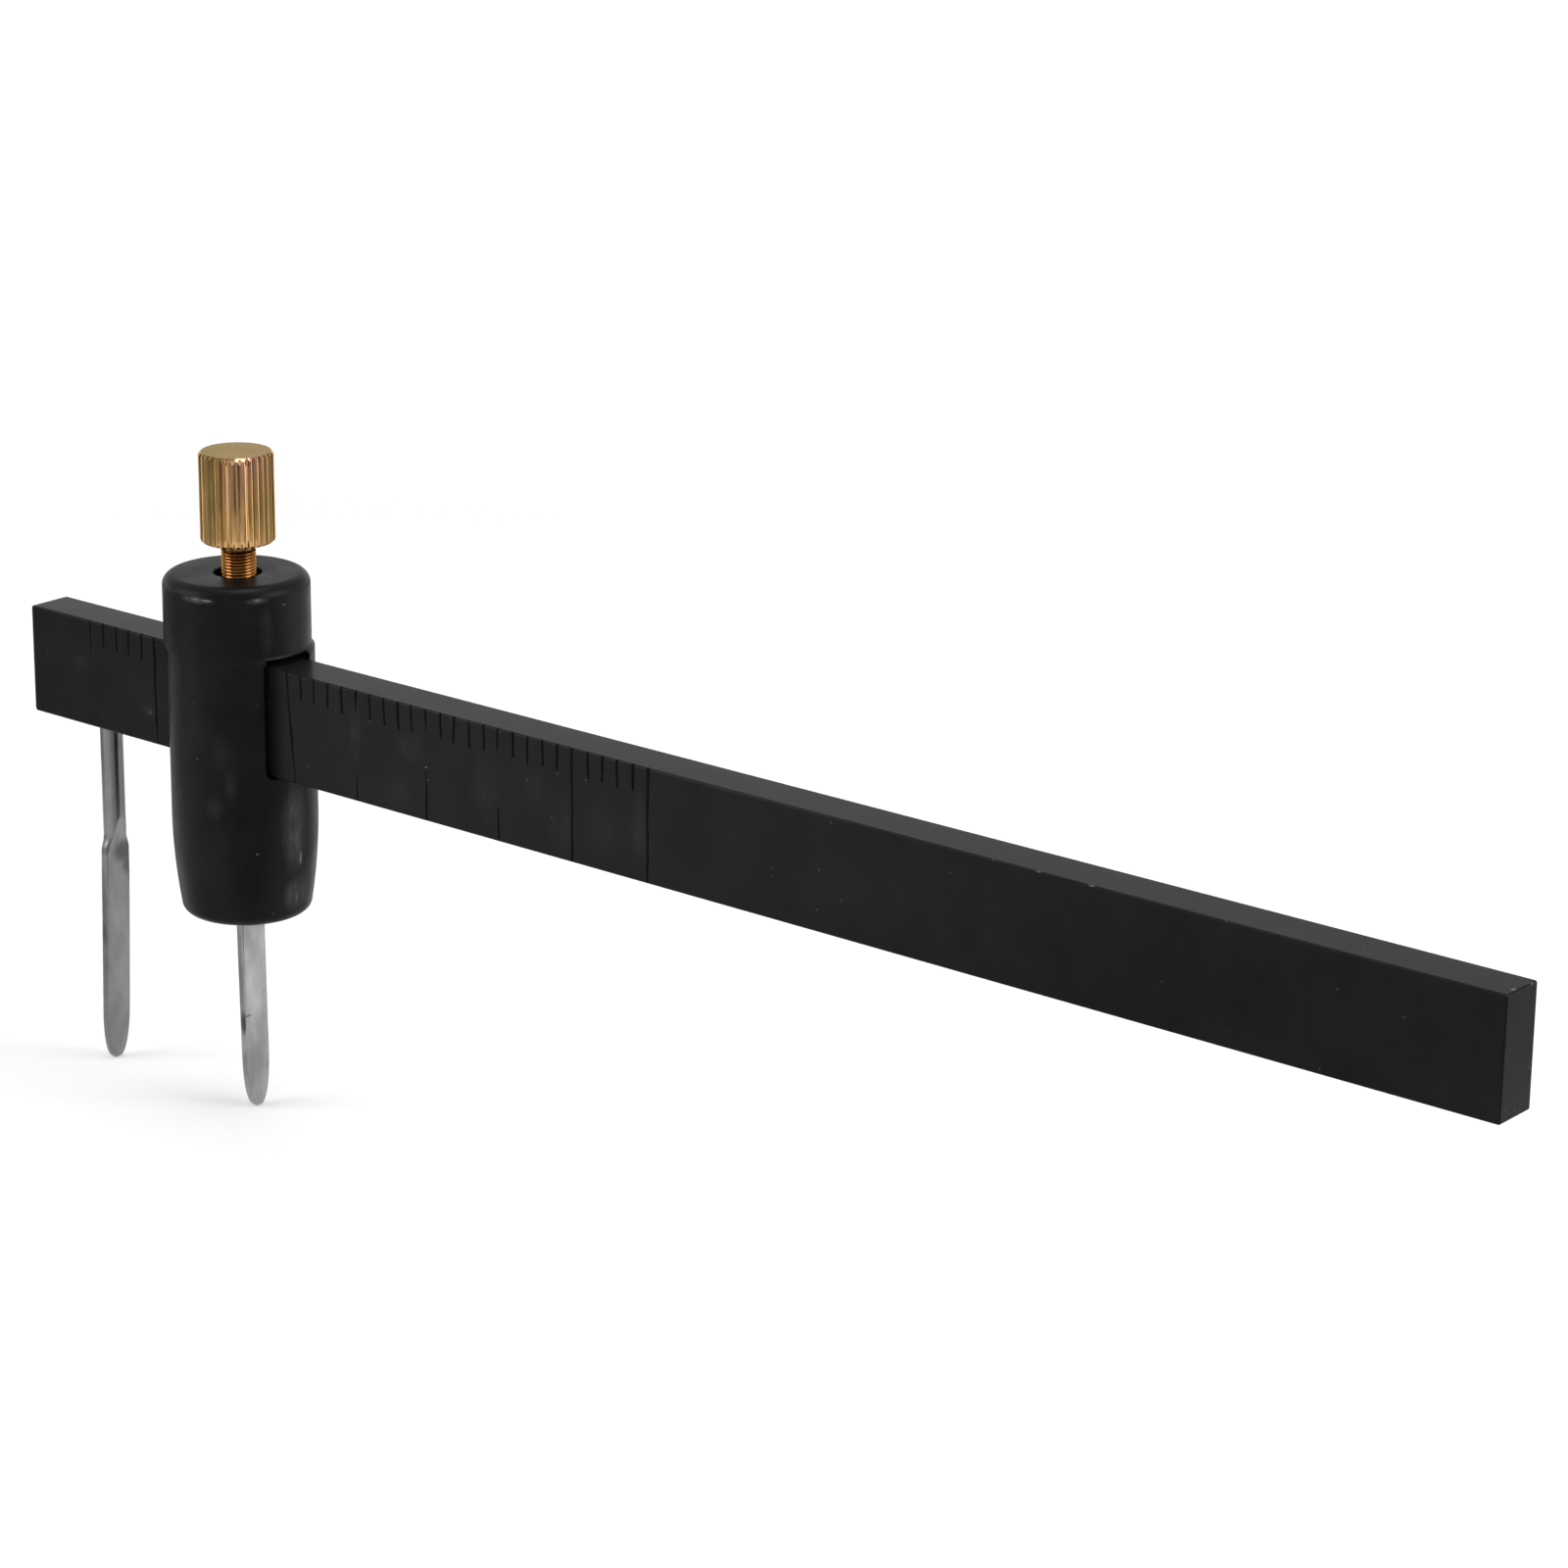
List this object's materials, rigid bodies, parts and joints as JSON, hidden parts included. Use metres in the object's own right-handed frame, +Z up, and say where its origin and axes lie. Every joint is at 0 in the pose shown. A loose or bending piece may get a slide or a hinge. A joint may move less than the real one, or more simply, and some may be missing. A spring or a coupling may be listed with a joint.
{
  "type": "beam compass caliper",
  "caption": "Ruled bar with a fixed spade point and a sliding post that carries a second point and a thumb screw, for setting and cutting circles in clay.",
  "frame": {"origin": "centre of the beam's end face beside the fixed point, at mid height and mid thickness", "axes": "+X along the beam from the fixed point's end to the free end, +Z up from the points to the thumb screw, the ruled face looks towards -Y"},
  "size_m": [0.187, 0.0156, 0.0732],
  "materials": {
    "beam_plastic": "moulded, satin",
    "post_plastic": "moulded, satin",
    "point_steel": "drawn and pressed",
    "knob_brass": "knurled, yellow passivated",
    "stud_brass": "cut thread, coppery",
    "insert_brass": "turned",
    "pad_plastic": "turned nylon"
  },
  "bodies": {
    "rule": {"beam": "beam_plastic", "fixed_point": "point_steel"},
    "slider": {"slider_body": "post_plastic", "slider_point": "point_steel", "threaded_insert": "insert_brass"},
    "pad": {"clamp_pad": "pad_plastic"},
    "screw": {"thumb_screw_knob": "knob_brass", "thumb_screw_stud": "stud_brass"}
  },
  "joints": [
    {"name": "slider_slide", "type": "slide", "parent": "rule", "child": "slider", "axis": [1, 0, 0], "range_m": [-0.0112, 0.1488]},
    {"name": "screw_feed", "type": "slide", "parent": "slider", "child": "pad", "axis": [0, 0, 1], "range_m": [0, 0.0028]},
    {"name": "screw_turn", "type": "hinge", "parent": "pad", "child": "screw", "pos_m": [0.0304, 0, 0.0091], "axis": [0, 0, 1], "range_deg": [0, 2880]}
  ],
  "couplings": [
    {"joint": "screw_turn", "follows": "screw_feed", "rad_per_m": 17952}
  ]
}
